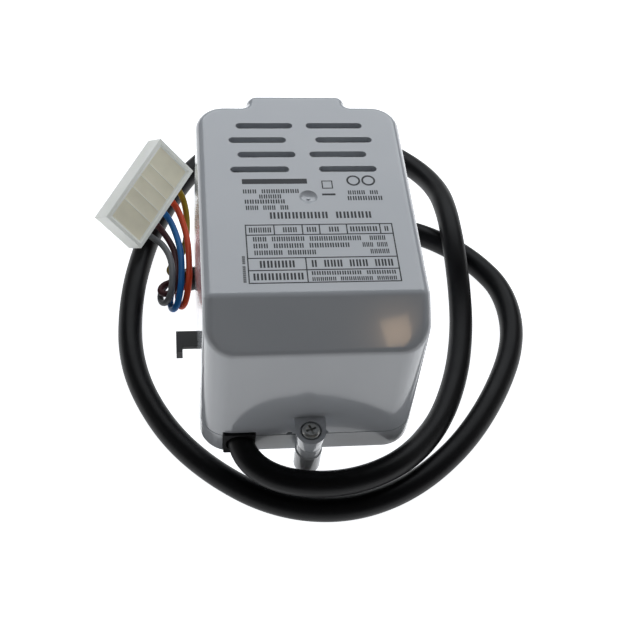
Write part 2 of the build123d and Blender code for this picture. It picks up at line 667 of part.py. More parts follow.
def arm_pin():
    """Pin that the switch arm swings on."""
    x, y = ARM_PIVOT
    return ring(0.4, 0, FLOOR_TOP_Z, 17.4, x, y)


def cable_grommet():
    """Square grommet in the notch of the front wall."""
    plug = slab(*GROMMET_X, FRONT_Y, FRONT_Y + 3.4, FLOOR_TOP_Z + 0.05, GROMMET_TOP_Z)
    flange = slab(*GROMMET_X, GROMMET_FACE_Y, FRONT_Y, FLOOR_TOP_Z - 0.6, GROMMET_TOP_Z)
    plug = fillet((plug + flange).edges().filter_by(Axis.Y), 0.6)
    return plug - Pos(CORD_EXIT_X, FRONT_Y, CORD_EXIT_Z) * Rot(90, 0, 0) * Cylinder(CORD_R + 0.02, 12)


def cord_clamp():
    """Saddle that clamps the cord's jacket inside the casing."""
    y0, y1 = -34.0, -29.0
    saddle = slab(-26.4, -13.6, y0, y1, FLOOR_TOP_Z, CLAMP_TOP_Z)
    saddle = chamfer(saddle.edges().filter_by(Axis.Y).sort_by(Axis.Z)[-2:], 1.0)
    groove = CORD_R + 0.02
    saddle -= slab(CORD_EXIT_X - groove, CORD_EXIT_X + groove, y0 - 1, y1 + 1, 10, CORD_EXIT_Z)
    saddle -= Pos(CORD_EXIT_X, CLAMP_Y, CORD_EXIT_Z) * Rot(90, 0, 0) * Cylinder(groove, 12)
    for x in CLAMP_SCREW_X:
        saddle -= ring(CLAMP_SCREW_R + 0.1, 0, 10, 30, x, CLAMP_Y)
    return saddle


def clamp_screws():
    """Two screws that hold the saddle down."""
    depth = CLAMP_TOP_Z - BASE_Z - 0.8
    return join(small_screw(x, CLAMP_Y, CLAMP_TOP_Z, depth, CLAMP_SCREW_R, 1.6, 1.1)
                for x in CLAMP_SCREW_X)


def manual_lever():
    """Sliding lever: rack inside, finger tab with a hook outside."""
    z0 = LEVER_BOTTOM_Z
    z1 = z0 + LEVER_THICK
    y0 = LEVER_CENTRE_Y - LEVER_WIDTH / 2
    y1 = LEVER_CENTRE_Y + LEVER_WIDTH / 2
    root_x = -LEVER_PITCH_R - 1.15
    bar = slab(-13.5, root_x, -8.0, 15.0, z0, z1)
    arm = slab(LEVER_END_X, -12.0, y0, y1, z0, z1)
    hook = slab(LEVER_END_X, LEVER_END_X + 1.9, y0 - 1.8, y0 + 0.5, z0 - 2.2, z1)
    lever = bar + arm + hook
    pitch = pi * SECTOR_MODULE
    for index in range(-2, 5):
        y = (index + 0.5) * pitch
        half_tip = 0.38
        half_root = 1.02
        tooth = polygon([(root_x - 0.3, y - half_root), (root_x, y - half_root),
                         (-LEVER_PITCH_R + 0.75, y - half_tip), (-LEVER_PITCH_R + 0.75, y + half_tip),
                         (root_x, y + half_root), (root_x - 0.3, y + half_root)])
        lever += Pos(0, 0, z0) * extrude(tooth, z1 - z0)
    return lever


def corner_radii(points):
    """For each inner point, 0.45 of the shorter run over the tangent of half the turn."""
    radii = []
    for before, here, after in zip(points, points[1:], points[2:]):
        run_in = Vector(*here) - Vector(*before)
        run_out = Vector(*after) - Vector(*here)
        turn = radians(run_in.get_angle(run_out))
        radii.append(0.45 * min(run_in.length, run_out.length) / tan(turn / 2))
    return radii


def tube(points, radius, name):
    """Round tube along straight runs joined by tangent arcs; prints its radii."""
    radii = corner_radii(points)
    path = FilletPolyline(*points, radius=radii)
    section = Plane(path @ 0, z_dir=path % 0) * Circle(radius)
    body = sweep(section, path=path)
    expected = pi * radius**2 * path.length
    print(name, "length", round(path.length, 1), "volume ratio", round(body.volume / expected, 4),
          "radii", [round(r, 1) for r in radii])
    return body


def core_routes():
    """Routes of the five cores, from the jacket's end to the connector."""
    end = Vector(*CORD_ROUTE[-1])
    along = (end - Vector(*CORD_ROUTE[-2])).normalized()
    side = along.cross(Vector(0, 0, 1)).normalized()
    long_axis = Vector(*CONNECTOR_LONG).normalized()
    out = Vector(*CONNECTOR_OUT).normalized()
    centre = Vector(*CONNECTOR_AT)
    routes = {}
    for name, spec in CORE_PLAN.items():
        angle = radians(spec["seat_deg"])
        seat = end + side * (CORE_RING_R * cos(angle)) + Vector(0, 0, CORE_RING_R * sin(angle))
        start = [seat, seat + along * CORE_STRAIGHT]
        way = centre + long_axis * (spec["way"] * WAY_PITCH)
        face = CONNECTOR_SIZE[1] / 2
        finish = [way + out * (face + CORE_STRAIGHT), way + out * (face - CORE_SEATING)]
        routes[name] = [tuple(p) for p in (*start, *[Vector(*q) for q in spec["route"]], *finish)]
    return routes


def connector_frame():
    """Plane at the connector's centre: x along it, y to the wires, z to its window side."""
    long_axis = Vector(*CONNECTOR_LONG).normalized()
    out = Vector(*CONNECTOR_OUT).normalized()
    return Plane(origin=CONNECTOR_AT, x_dir=tuple(long_axis), z_dir=tuple(long_axis.cross(out)))


def way_places():
    """Local places of the five ways along the connector."""
    return [(index - (WAYS - 1) / 2) * WAY_PITCH for index in range(WAYS)]


def connector_housing():
    """Five-way housing with open cavities, a sunk window face and latch slots."""
    length, depth, height = CONNECTOR_SIZE
    body = Box(length, depth, height)
    body = chamfer(body.edges(), 0.5)
    body -= Pos(0.0, 0.6, height / 2) * Box(length - 3.4, depth - 4.4, 1.0)
    for x in way_places():
        body -= Pos(x, 0, -0.2) * Box(CAVITY, depth + 2, CAVITY)
        body -= Pos(x, -2.6, height / 2 - 1) * Box(2.6, 4.2, 3.0)
    return connector_frame() * body


def connector_contacts():
    """Five crimped contacts in the cavities."""
    pieces = []
    depth = CONNECTOR_SIZE[1]
    for x in way_places():
        sleeve = Pos(x, -1.4, -0.2) * Box(2.6, 9.5, 2.6)
        sleeve -= Pos(x, -2.4, -0.2) * Box(1.8, 9.5, 1.8)
        barrel = Pos(x, depth / 2 - 4.0, -0.2) * Rot(90, 0, 0) * Cylinder(1.25, 2.0)
        pieces.append(connector_frame() * (sleeve + barrel))
    return join(pieces)


def inner_leads():
    """Three leads inside the casing: one to the switch and two to the motor."""
    leads = []
    for points in LEAD_ROUTES:
        path = FilletPolyline(*points, radius=corner_radii(points))
        leads.append(sweep(Plane(path @ 0, z_dir=path % 0) * Circle(LEAD_R), path=path))
    return join(leads)


def main():
    os.makedirs("parts", exist_ok=True)
    save(base(), "base")
    save(cover(), "cover")
    save(cover_screw(), "cover_screw")
    save(spindle_bush(), "spindle_bush")
    save(drive_spindle(), "drive_spindle")
    save(sector_gear(), "sector_gear")
    save(lever_gear(), "lever_gear")
    save(switch_cam(), "switch_cam")
    save(circlip(), "spindle_circlip")
    save(return_spring(), "return_spring")
    save(output_shaft(), "output_shaft")
    save(output_wheel(), "output_wheel")
    save(idler_gear(), "idler_gear")
    save(idler_axle(), "idler_axle")
    save(rotor_shaft(), "rotor_shaft")
    save(rotor_magnet(), "rotor_magnet")
    save(gear_plate(), "gear_plate")
    save(plate_screws(), "plate_screws")
    save(gearbox_housing(), "gearbox_housing")
    save(motor_screws(), "motor_screws")
    save(motor_can(), "motor_can")
    save(stator_bobbin(), "stator_bobbin")
    save(stator_winding(), "stator_winding")
    save(switch_body(), "switch_body")
    save(switch_plunger(), "switch_plunger")
    save(switch_screws(), "switch_screws")
    save(switch_terminals(), "switch_terminals")
    save(switch_arm(), "switch_arm")
    save(arm_pin(), "switch_arm_pin")
    save(cable_grommet(), "cable_grommet")
    save(cord_clamp(), "cord_clamp")
    save(clamp_screws(), "clamp_screws")
    save(manual_lever(), "manual_lever")
    save(inner_leads(), "inner_leads")
    save(connector_housing(), "connector_housing")
    save(connector_contacts(), "connector_contacts")
    save(tube(CORD_ROUTE, CORD_R, "cable"), "cable")
    for name, route in core_routes().items():
        save(tube(route, CORE_R, f"wire_{name}"), f"wire_{name}")


main()
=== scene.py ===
from math import cos, radians, sin

import bmesh
import bpy
from bpy.props import FloatProperty, FloatVectorProperty, IntProperty, PointerProperty
from mathutils import Matrix, Vector


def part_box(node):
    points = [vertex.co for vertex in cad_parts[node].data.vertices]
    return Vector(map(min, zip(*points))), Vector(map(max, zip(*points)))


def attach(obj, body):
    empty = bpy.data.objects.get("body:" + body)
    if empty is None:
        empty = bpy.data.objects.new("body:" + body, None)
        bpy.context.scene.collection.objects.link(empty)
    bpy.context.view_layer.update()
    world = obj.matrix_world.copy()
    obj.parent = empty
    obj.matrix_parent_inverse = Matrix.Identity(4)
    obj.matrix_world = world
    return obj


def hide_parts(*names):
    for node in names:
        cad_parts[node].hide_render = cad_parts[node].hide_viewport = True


bl_info = {
    "name": "Valve actuator looks",
    "version": (1, 0, 0),
    "blender": (4, 5, 0),
    "location": "3D View > Sidebar > Actuator",
    "description": "Builds the finishes and the fine pieces of a motorised valve actuator",
    "category": "Object",
}

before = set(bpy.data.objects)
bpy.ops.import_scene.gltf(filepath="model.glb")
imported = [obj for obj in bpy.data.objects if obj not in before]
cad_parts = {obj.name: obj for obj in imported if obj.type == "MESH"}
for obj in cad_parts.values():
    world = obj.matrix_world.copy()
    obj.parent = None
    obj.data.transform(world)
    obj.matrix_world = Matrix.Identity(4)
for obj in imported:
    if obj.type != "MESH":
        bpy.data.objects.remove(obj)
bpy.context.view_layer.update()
COVER_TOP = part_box("cover")[1].z
MM = 0.001

# Viewpoint: place in metres, then turn, dip and roll in degrees, and lens on a 36 mm sensor
VIEW_PLACE = (-0.03513, -0.20185, 0.28712)
VIEW_TURN = 11.701
VIEW_DIP = 52.317
VIEW_ROLL = 7.998
VIEW_LENS = 61.72

# Soft lights: place, and width and height, in metres
LIGHT_BEHIND = ((0.10, 0.62, 0.62), (1.1, 0.7))
LIGHT_LEFT = ((-0.75, 0.05, 0.42), (0.5, 0.6))
LIGHT_RIGHT = ((0.80, 0.10, 0.40), (0.5, 0.6))
LIGHT_AIM = (0.0, 0.01, 0.04)
# A small warm light that the sloping front mirrors: place, aim and size in metres
GLINT_PLACE = (0.1078, -0.2976, 0.4141)
GLINT_AIM = (0.0207, -0.0342, 0.0599)
GLINT_SIZE = (0.0195, 0.0195)

# The cord's route from the clamp to the jacket's end, in millimetres
CORD_ROUTE = [
    (-20.0, -27.0, 15.6), (-20.0, -36.5, 15.6), (-18.9, -43.0, 15.1), (-14.6, -48.3, 14.3),
    (-7.4, -51.7, 13.4), (3.0, -52.9, 12.6), (14.2, -51.4, 11.8), (25.2, -46.6, 10.6),
    (34.4, -38.9, 8.3), (43.6, -26.6, 5.0), (51.2, -10.0, 3.8), (55.6, 7.0, 3.8),
    (57.0, 21.0, 6.0), (56.4, 36.0, 12.4), (56.6, 53.0, 12.2), (56.0, 67.0, 8.4),
    (50.6, 80.5, 5.0), (38.0, 93.0, 3.8), (20.0, 101.0, 3.8), (0.0, 102.0, 3.8),
    (-18.0, 94.0, 3.8), (-31.0, 81.5, 3.8), (-40.6, 64.0, 3.8), (-47.8, 44.0, 3.8),
    (-52.0, 21.0, 3.8), (-51.6, -3.5, 3.8), (-42.6, -25.5, 3.8), (-29.2, -41.4, 3.8),
    (-11.0, -53.6, 3.8), (9.0, -57.0, 3.8), (28.4, -51.6, 3.8), (46.6, -38.4, 3.8),
    (61.6, -19.6, 3.8), (72.6, 2.0, 3.8), (73.2, 22.5, 3.8), (65.0, 36.2, 3.8),
    (54.0, 46.0, 3.8), (40.0, 52.4, 3.8), (23.0, 52.8, 3.8), (6.5, 46.5, 3.8),
    (-10.0, 38.5, 3.8), (-22.5, 33.6, 3.8), (-33.5, 30.3, 3.8),
]

# Each core: its angle in the jacket's end, its way in the connector, length in metres, and route
CORES = {
    "grey": (344, 2, 0.0527, [
        (-40.2, 29.9, 2.6), (-42.4, 26.2, 2.0), (-42.1, 21.9, 2.6), (-40.3, 19.9, 4.8),
        (-38.7, 21.3, 8.1), (-38.1, 27.0, 9.9), (-38.5, 34.5, 10.0), (-41.4, 41.5, 9.6)]),
    "brown": (128, 1, 0.0484, [
        (-39.9, 28.5, 4.7), (-42.1, 26.9, 4.3), (-42.2, 24.3, 4.8), (-40.1, 22.7, 5.8),
        (-37.2, 23.9, 6.5), (-36.9, 28.2, 7.7), (-36.8, 33.5, 7.8), (-37.4, 40.5, 8.2)]),
    "blue": (272, 0, 0.0602, [
        (-38.4, 28.2, 1.3), (-39.3, 23.6, 1.3), (-38.6, 18.9, 2.2), (-37.0, 17.8, 5.4),
        (-35.7, 21.3, 8.8), (-35.1, 28.5, 10.0), (-35.2, 37.0, 10.6), (-37.2, 46.5, 11.0)]),
    "orange": (200, -1, 0.0592, [
        (-36.6, 26.3, 2.3), (-36.4, 22.1, 1.6), (-35.4, 19.4, 2.9), (-34.0, 19.3, 6.3),
        (-32.9, 24.5, 9.3), (-32.6, 32.0, 9.9), (-32.9, 42.0, 10.6), (-34.9, 51.5, 11.6)]),
    "green_yellow": (56, -2, 0.0429, [
        (-38.3, 31.2, 5.6), (-39.5, 33.5, 5.3), (-37.5, 36.5, 5.2), (-33.9, 41.2, 6.2),
        (-32.6, 52.0, 9.6)]),
}
CORE_RING = 1.95
CORE_STRAIGHT = 2.3
CORE_SEATING = 3.0

# Leads inside the casing: core, length in metres, and route
LEADS = {
    "switch_lead": ("blue", 0.0537, [
        (-18.1, -27.0, 16.0), (-14.0, -24.0, 15.0), (4.0, -23.5, 14.4), (14.0, -18.5, 17.4),
        (20.5, -9.4, 20.2), (26.0, -7.4, 19.4), (26.5, -7.0, 15.85)]),
    "motor_lead_front": ("grey", 0.0404, [
        (-19.8, -27.0, 17.5), (-17.0, -20.5, 20.0), (-4.0, -20.5, 26.0), (6.0, -20.5, 33.0),
        (6.5, -15.5, 40.5)]),
    "motor_lead_rear": ("orange", 0.0354, [
        (-21.8, -27.0, 16.4), (-21.5, -19.5, 20.5), (-12.0, -17.6, 27.0), (-5.5, -20.0, 33.0),
        (-5.0, -15.5, 40.5)]),
}

# Connector: centre, long axis, wire-side axis, size in millimetres, and pitch of its ways
CONNECTOR_AT = Vector((-46.7, 55.2, 19.0))
CONNECTOR_LONG = Vector((-0.53, -0.81, -0.25)).normalized()
CONNECTOR_OUT = Vector((0.65, -0.20, -0.73)).normalized()
CONNECTOR_SIZE = (33.4, 16.3, 7.8)
WAY_PITCH = 5.0
WAYS = 5
# Its window in metres: frame, rim (width, depth), border, and each way's steps (width, depth)
WINDOW_FRAME = 0.0016
WINDOW_RIM = (0.0005, -0.0006)
WINDOW_BORDER = 0.0004
WINDOW_STEPS = ((0.00014, -0.00012), (0.0012, -0.0002))
# Its wire side in metres: frame, wall round each cavity, draft and depth
CAVITY_FRAME = 0.0016
CAVITY_WALL = 0.0009
CAVITY_DRAFT = 0.00005
CAVITY_DEPTH = 0.0030

# Printing on the cover's top, in millimetres: the table's outline and its inner lines
TABLE_X = (-17.8, 22.4)
TABLE_Y = (-1.9, -5.5, -13.7, -17.9, -22.2)
FIRST_ROW_X = (-10.1, -2.4, 2.3, 9.8, 19.0)
LOWER_ROWS_X = -2.4
# Blank bars: left x, right x, middle y, height, and lengths of the words in blocks
BARS = [
    (-17.9, 0.4, 14.5, 1.9, (1,)),
    (-17.8, -2.2, 10.7, 1.5, (3, 8)),
    (-13.4, -7.3, 8.7, 1.5, (5,)),
    (-17.5, -6.4, 6.8, 1.5, (8,)),
    (-17.3, -5.6, 4.5, 1.6, (3, 3, 2)),
    (4.2, 8.0, 9.3, 0.7, (1,)),
    (11.6, 20.1, 10.0, 1.5, (4, 2)),
    (11.3, 21.1, 7.8, 1.6, (7,)),
    (-10.9, 17.2, 1.55, 2.4, (8, 5)),
    (-16.9, -10.9, -3.7, 1.8, (5,)),
    (-7.7, -3.9, -3.7, 1.8, (3,)),
    (-1.2, 1.4, -3.7, 1.8, (2,)),
    (4.9, 7.6, -3.7, 1.8, (2,)),
    (10.7, 18.2, -3.7, 1.8, (5,)),
    (20.2, 21.3, -3.7, 1.8, (1,)),
    (-16.0, 13.3, -7.0, 1.6, (3, 7, 11)),
    (15.7, 20.0, -7.0, 1.6, (4,)),
    (-16.0, 9.9, -9.4, 1.6, (3, 6, 8)),
    (13.5, 20.3, -9.4, 1.6, (3, 3)),
    (-15.9, 0.6, -11.8, 1.6, (6, 6)),
    (15.4, 20.5, -11.8, 1.6, (5,)),
    (-14.7, -5.4, -15.8, 2.4, (5,)),
    (-0.9, 21.0, -15.8, 2.4, (1, 3, 3, 3)),
    (-16.6, -3.4, -20.05, 2.3, (7,)),
    (-1.2, 21.3, -19.1, 1.3, (10, 6)),
    (-1.2, 21.3, -21.1, 1.3, (6, 8, 5)),
]
# The upright bar beside the table: middle x, upper y, lower y, width, and lengths of its words
SIDE_BAR = (-18.9, -12.9, -21.9, 0.8, (8, 4))
# A blank letter's strokes, each from one share of its space to another, and the gaps between words
STROKES = ((0.0, 0.28), (0.46, 0.74))
LETTER_GAP = 0.22
WORD_GAP = 0.9
# Plain outlines: middle, outer and inner radius in millimetres, and number of corners
BADGES = (
    ((6.0, 13.1), 2.2, 1.75, 4),
    ((13.6, 14.6), 2.0, 1.45, 28),
    ((17.9, 14.6), 2.0, 1.45, 28),
)
# How deep the ink reaches into the cover, and the floor's gap below the object, in metres
INK_SUNK = 0.000005
FLOOR_GAP = 0.00006
# Half width of a scuff's band in the noise that draws it
SCUFF_BAND = 0.004
# Faces that meet at more than this many degrees keep a crisp edge
CRISP_EDGE = 28.0


class ActuatorCasing(bpy.types.PropertyGroup):
    """Sizes and colours of the casing."""

    plastic: FloatVectorProperty(
        name="Plastic", description="Colour of the moulded cover and base", subtype="COLOR",
        default=(0.70, 0.725, 0.765), min=0, max=1)
    plastic_shade: FloatVectorProperty(
        name="Plastic shade", description="Second tint that drifts over the mouldings", subtype="COLOR",
        default=(0.66, 0.69, 0.735), min=0, max=1)
    # The base is the same white ABS as the cover, but its tint is set paler: part of it is painted
    # light, standing in for the extra light the base shows.
    base_plastic_with_painted_light: FloatVectorProperty(
        name="Base plastic", description="Colour of the moulded base", subtype="COLOR",
        default=(0.80, 0.83, 0.86), min=0, max=1)
    gloss: FloatProperty(
        name="Gloss", description="Roughness of the polished mouldings", default=0.13,
        min=0.02, max=0.6, subtype="FACTOR")
    edge_radius: FloatProperty(
        name="Edge radius", description="Softening of the small mouldings' edges", default=0.00022,
        min=0, max=0.001, unit="LENGTH")
    ink: FloatVectorProperty(
        name="Ink", description="Colour of the printing", subtype="COLOR",
        default=(0.035, 0.038, 0.045), min=0, max=1)
    ink_height: FloatProperty(
        name="Ink height", description="How far the printing stands on the cover", default=0.00003,
        min=0.00001, max=0.0002, unit="LENGTH")
    line_width: FloatProperty(
        name="Line width", description="Width of the table's lines", default=0.00034,
        min=0.0001, max=0.001, unit="LENGTH")


class ActuatorCords(bpy.types.PropertyGroup):
    """Sizes and colours of the cord, its cores and the connector."""

    jacket_width: FloatProperty(
        name="Jacket", description="Outer diameter of the cord", default=0.0076,
        min=0.004, max=0.012, unit="LENGTH")
    core_width: FloatProperty(
        name="Core", description="Outer diameter of a core", default=0.0021,
        min=0.001, max=0.003, unit="LENGTH")
    lead_width: FloatProperty(
        name="Lead", description="Outer diameter of a lead inside the casing", default=0.0016,
        min=0.001, max=0.003, unit="LENGTH")
    jacket: FloatVectorProperty(
        name="Jacket colour", description="Colour of the cord's jacket", subtype="COLOR",
        default=(0.0048, 0.0048, 0.0058), min=0, max=1)
    grey: FloatVectorProperty(
        name="Grey core", description="Colour of the grey core", subtype="COLOR",
        default=(0.20, 0.205, 0.215), min=0, max=1)
    brown: FloatVectorProperty(
        name="Brown core", description="Colour of the brown core", subtype="COLOR",
        default=(0.095, 0.030, 0.034), min=0, max=1)
    blue: FloatVectorProperty(
        name="Blue core", description="Colour of the blue core", subtype="COLOR",
        default=(0.010, 0.155, 0.46), min=0, max=1)
    orange: FloatVectorProperty(
        name="Orange core", description="Colour of the orange-red core", subtype="COLOR",
        default=(0.74, 0.075, 0.020), min=0, max=1)
    green_yellow: FloatVectorProperty(
        name="Earth core", description="Colour of the earth core's yellow", subtype="COLOR",
        default=(0.33, 0.22, 0.012), min=0, max=1)
    connector: FloatVectorProperty(
        name="Connector", description="Colour of the natural nylon housing", subtype="COLOR",
        default=(0.84, 0.855, 0.815), min=0, max=1)
    line_steps: IntProperty(
        name="Smoothness", description="Steps along each stretch of a cord", default=14, min=4, max=32)


class ActuatorStage(bpy.types.PropertyGroup):
    """Floor and light."""

    floor_size: FloatProperty(
        name="Floor", description="Width of the pale floor", default=6.0, min=1, max=20, unit="LENGTH")
    floor_glow: FloatProperty(
        name="Floor glow", description="Brightness of the lit floor", default=1.05, min=0, max=4)
    floor_bounce: FloatProperty(
        name="Floor bounce", description="How much light the floor sends up", default=0.13, min=0, max=4)
    key_power: FloatProperty(
        name="Key", description="Power of the soft light behind", default=4.6, min=0, max=200,
        unit="POWER")
    side_power: FloatProperty(
        name="Sides", description="Power of each soft light at the side", default=0.26,
        min=0, max=50, unit="POWER")
    glint_power: FloatProperty(
        name="Glint", description="Power of the small warm light mirrored in the sloping front",
        default=0.009, min=0, max=1, unit="POWER")
    sky: FloatProperty(
        name="Room", description="Brightness of the plain room", default=0.05, min=0, max=2)


def show(name, mesh, body, materials):
    """Puts a finished mesh in the scene on its body."""
    piece = bpy.data.objects.new(name, mesh)
    bpy.context.collection.objects.link(piece)
    for material in materials:
        mesh.materials.append(material)
    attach(piece, body)
    return piece


def finish_nodes(material, *names):
    """Gives CAD pieces a better material."""
    for name in names:
        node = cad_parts[name]
        node.data.materials.clear()
        node.data.materials.append(material)


def group_node(tree, group, **values):
    """Places a node group with its own values."""
    node = tree.nodes.new("ShaderNodeGroup")
    node.node_tree = bpy.data.node_groups[group]
    for key, value in values.items():
        socket = node.inputs[key.replace("_", " ").title()]
        socket.default_value = (*value, 1.0) if hasattr(value, "__len__") else value
    return node


def new_group(name, inputs, outputs):
    """An empty shader node group with named sockets; kind c is a colour and f a number."""
    kinds = {"c": "NodeSocketColor", "f": "NodeSocketFloat"}
    group = bpy.data.node_groups.new(name, "ShaderNodeTree")
    for title, kind in inputs:
        group.interface.new_socket(title, in_out="INPUT", socket_type=kinds[kind])
    for title, kind in outputs:
        group.interface.new_socket(title, in_out="OUTPUT", socket_type=kinds[kind])
    enter = group.nodes.new("NodeGroupInput")
    leave = group.nodes.new("NodeGroupOutput")
    return group, enter, leave


def noise(tree, vector, scale, detail=2.0, roughness=0.5, distortion=0.0):
    """A noise texture reading the given vector."""
    node = tree.nodes.new("ShaderNodeTexNoise")
    node.inputs["Detail"].default_value = detail
    node.inputs["Roughness"].default_value = roughness
    node.inputs["Distortion"].default_value = distortion
    tree.links.new(vector, node.inputs["Vector"])
    if isinstance(scale, (int, float)):
        node.inputs["Scale"].default_value = scale
    else:
        tree.links.new(scale, node.inputs["Scale"])
    return node.outputs["Fac"]


def maths(tree, operation, first, second):
    """A Math node; numbers and sockets may both be given."""
    node = tree.nodes.new("ShaderNodeMath")
    node.operation = operation
    for index, value in enumerate((first, second)):
        if isinstance(value, (int, float)):
            node.inputs[index].default_value = value
        else:
            tree.links.new(value, node.inputs[index])
    return node.outputs[0]


def between(tree, factor, low, high, from_low=0.3, from_high=0.7):
    """Maps a factor from one range to another, held at its ends."""
    node = tree.nodes.new("ShaderNodeMapRange")
    node.inputs["From Min"].default_value = from_low
    node.inputs["From Max"].default_value = from_high
    tree.links.new(factor, node.inputs["Value"])
    for title, value in (("To Min", low), ("To Max", high)):
        if isinstance(value, (int, float)):
            node.inputs[title].default_value = value
        else:
            tree.links.new(value, node.inputs[title])
    return node.outputs["Result"]


def blend_colour(tree, factor, first, second):
    """Mixes two colours by a factor."""
    node = tree.nodes.new("ShaderNodeMix")
    node.data_type = "RGBA"
    tree.links.new(factor, node.inputs["Factor"])
    tree.links.new(first, node.inputs["A"])
    tree.links.new(second, node.inputs["B"])
    return node.outputs["Result"]


def moulded_skin():
    """Polished or grained moulded plastic: slow tint drift, sink waviness and fine grain."""
    group, enter, leave = new_group(
        "Moulded skin",
        [("Tint", "c"), ("Shade", "c"), ("Scale", "f"), ("Low Gloss", "f"), ("High Gloss", "f"),
         ("Waviness", "f"), ("Grain", "f")],
        [("Color", "c"), ("Roughness", "f"), ("Height", "f")])
    place = group.nodes.new("ShaderNodeTexCoord").outputs["Object"]
    slow = noise(group, place, enter.outputs["Scale"], 2.0)
    fine_scale = maths(group, "MULTIPLY", enter.outputs["Scale"], 60.0)
    fine = noise(group, place, fine_scale, 3.0, 0.6)
    tone = between(group, slow, 0.0, 1.0)
    links = group.links
    links.new(blend_colour(group, tone, enter.outputs["Tint"], enter.outputs["Shade"]),
              leave.inputs["Color"])
    mixed = maths(group, "ADD", maths(group, "MULTIPLY", slow, 0.6), maths(group, "MULTIPLY", fine, 0.4))
    links.new(between(group, mixed, enter.outputs["Low Gloss"], enter.outputs["High Gloss"]),
              leave.inputs["Roughness"])
    wave = maths(group, "MULTIPLY", slow, enter.outputs["Waviness"])
    grain = maths(group, "MULTIPLY", fine, enter.outputs["Grain"])
    links.new(maths(group, "ADD", wave, grain), leave.inputs["Height"])


def rolled_metal():
    """Plated or drawn metal: streaks along one axis, small pits and tint drift."""
    group, enter, leave = new_group(
        "Rolled metal",
        [("Tint", "c"), ("Shade", "c"), ("Scale", "f"), ("Low Gloss", "f"), ("High Gloss", "f"),
         ("Pits", "f")],
        [("Color", "c"), ("Roughness", "f"), ("Height", "f")])
    place = group.nodes.new("ShaderNodeTexCoord").outputs["Object"]
    stretch = group.nodes.new("ShaderNodeMapping")
    stretch.inputs["Scale"].default_value = (0.08, 1.0, 1.0)
    group.links.new(place, stretch.inputs["Vector"])
    streak = noise(group, stretch.outputs["Vector"], enter.outputs["Scale"], 3.0, 0.65)
    spots = noise(group, place, maths(group, "MULTIPLY", enter.outputs["Scale"], 1.7), 2.0)
    links = group.links
    links.new(blend_colour(group, between(group, spots, 0.0, 1.0), enter.outputs["Tint"],
                           enter.outputs["Shade"]), leave.inputs["Color"])
    links.new(between(group, streak, enter.outputs["Low Gloss"], enter.outputs["High Gloss"]),
              leave.inputs["Roughness"])
    links.new(maths(group, "MULTIPLY", spots, enter.outputs["Pits"]), leave.inputs["Height"])


def cord_skin():
    """Extruded plastic: faint dull patches, dust and a very fine grain."""
    group, enter, leave = new_group(
        "Cord skin",
        [("Tint", "c"), ("Dust", "c"), ("Dustiness", "f"), ("Low Gloss", "f"), ("High Gloss", "f"),
         ("Grain", "f")],
        [("Color", "c"), ("Roughness", "f"), ("Height", "f")])
    place = group.nodes.new("ShaderNodeTexCoord").outputs["Object"]
    patches = noise(group, place, 60.0, 3.0, 0.6)
    grain = noise(group, place, 2600.0, 2.0, 0.6)
    dust = maths(group, "MULTIPLY", between(group, patches, 0.0, 1.0, 0.45, 0.85),
                 enter.outputs["Dustiness"])
    links = group.links
    links.new(blend_colour(group, dust, enter.outputs["Tint"], enter.outputs["Dust"]),
              leave.inputs["Color"])
    links.new(between(group, patches, enter.outputs["Low Gloss"], enter.outputs["High Gloss"]),
              leave.inputs["Roughness"])
    links.new(maths(group, "MULTIPLY", grain, enter.outputs["Grain"]), leave.inputs["Height"])


def scuffs():
    """Mask of short hairline scuffs, thin where two stretched noises cross a narrow band."""
    group, enter, leave = new_group("Scuffs", [("Scale", "f"), ("Amount", "f")], [("Mask", "f")])
    place = group.nodes.new("ShaderNodeTexCoord").outputs["Object"]
    marks = None
    for turn, stretch_by in ((0.4, (0.06, 1.0, 1.0)), (1.9, (1.0, 0.09, 1.0))):
        turned = group.nodes.new("ShaderNodeMapping")
        turned.inputs["Rotation"].default_value = (0.0, 0.0, turn)
        turned.inputs["Scale"].default_value = stretch_by
        group.links.new(place, turned.inputs["Vector"])
        lines = noise(group, turned.outputs["Vector"], enter.outputs["Scale"], 1.0)
        off_middle = maths(group, "ABSOLUTE", maths(group, "SUBTRACT", lines, 0.5), 0)
        thin = maths(group, "LESS_THAN", off_middle, SCUFF_BAND)
        marks = thin if marks is None else maths(group, "MAXIMUM", marks, thin)
    rare = between(group, noise(group, place, 35.0, 1.0), 0.0, 1.0, 0.55, 0.75)
    mask = maths(group, "MULTIPLY", maths(group, "MULTIPLY", marks, rare), enter.outputs["Amount"])
    group.links.new(mask, leave.inputs["Mask"])


def surface(name, skin, bump, bump_distance=0.0002, scuff=0.0, shader=(), **values):
    """A material from one of the skins; shader holds plain values of the Principled shader."""
    material = bpy.data.materials.new(name)
    material.use_nodes = True
    tree = material.node_tree
    principled = tree.nodes["Principled BSDF"]
    skin_node = group_node(tree, skin, **values)
    colour, roughness = skin_node.outputs["Color"], skin_node.outputs["Roughness"]
    if scuff > 0:
        marks = group_node(tree, "Scuffs", scale=260.0, amount=scuff).outputs["Mask"]
        roughness = maths(tree, "ADD", roughness, maths(tree, "MULTIPLY", marks, 0.35))
    tree.links.new(colour, principled.inputs["Base Color"])
    tree.links.new(roughness, principled.inputs["Roughness"])
    relief = tree.nodes.new("ShaderNodeBump")
    relief.inputs["Strength"].default_value = bump
    relief.inputs["Distance"].default_value = bump_distance
    tree.links.new(skin_node.outputs["Height"], relief.inputs["Height"])
    tree.links.new(relief.outputs["Normal"], principled.inputs["Normal"])
    for title, value in dict(shader).items():
        principled.inputs[title].default_value = value
    material.diffuse_color = (*values["tint"], 1.0)
    return material


def material_named(name):
    """A finish made earlier."""
    return bpy.data.materials[name]


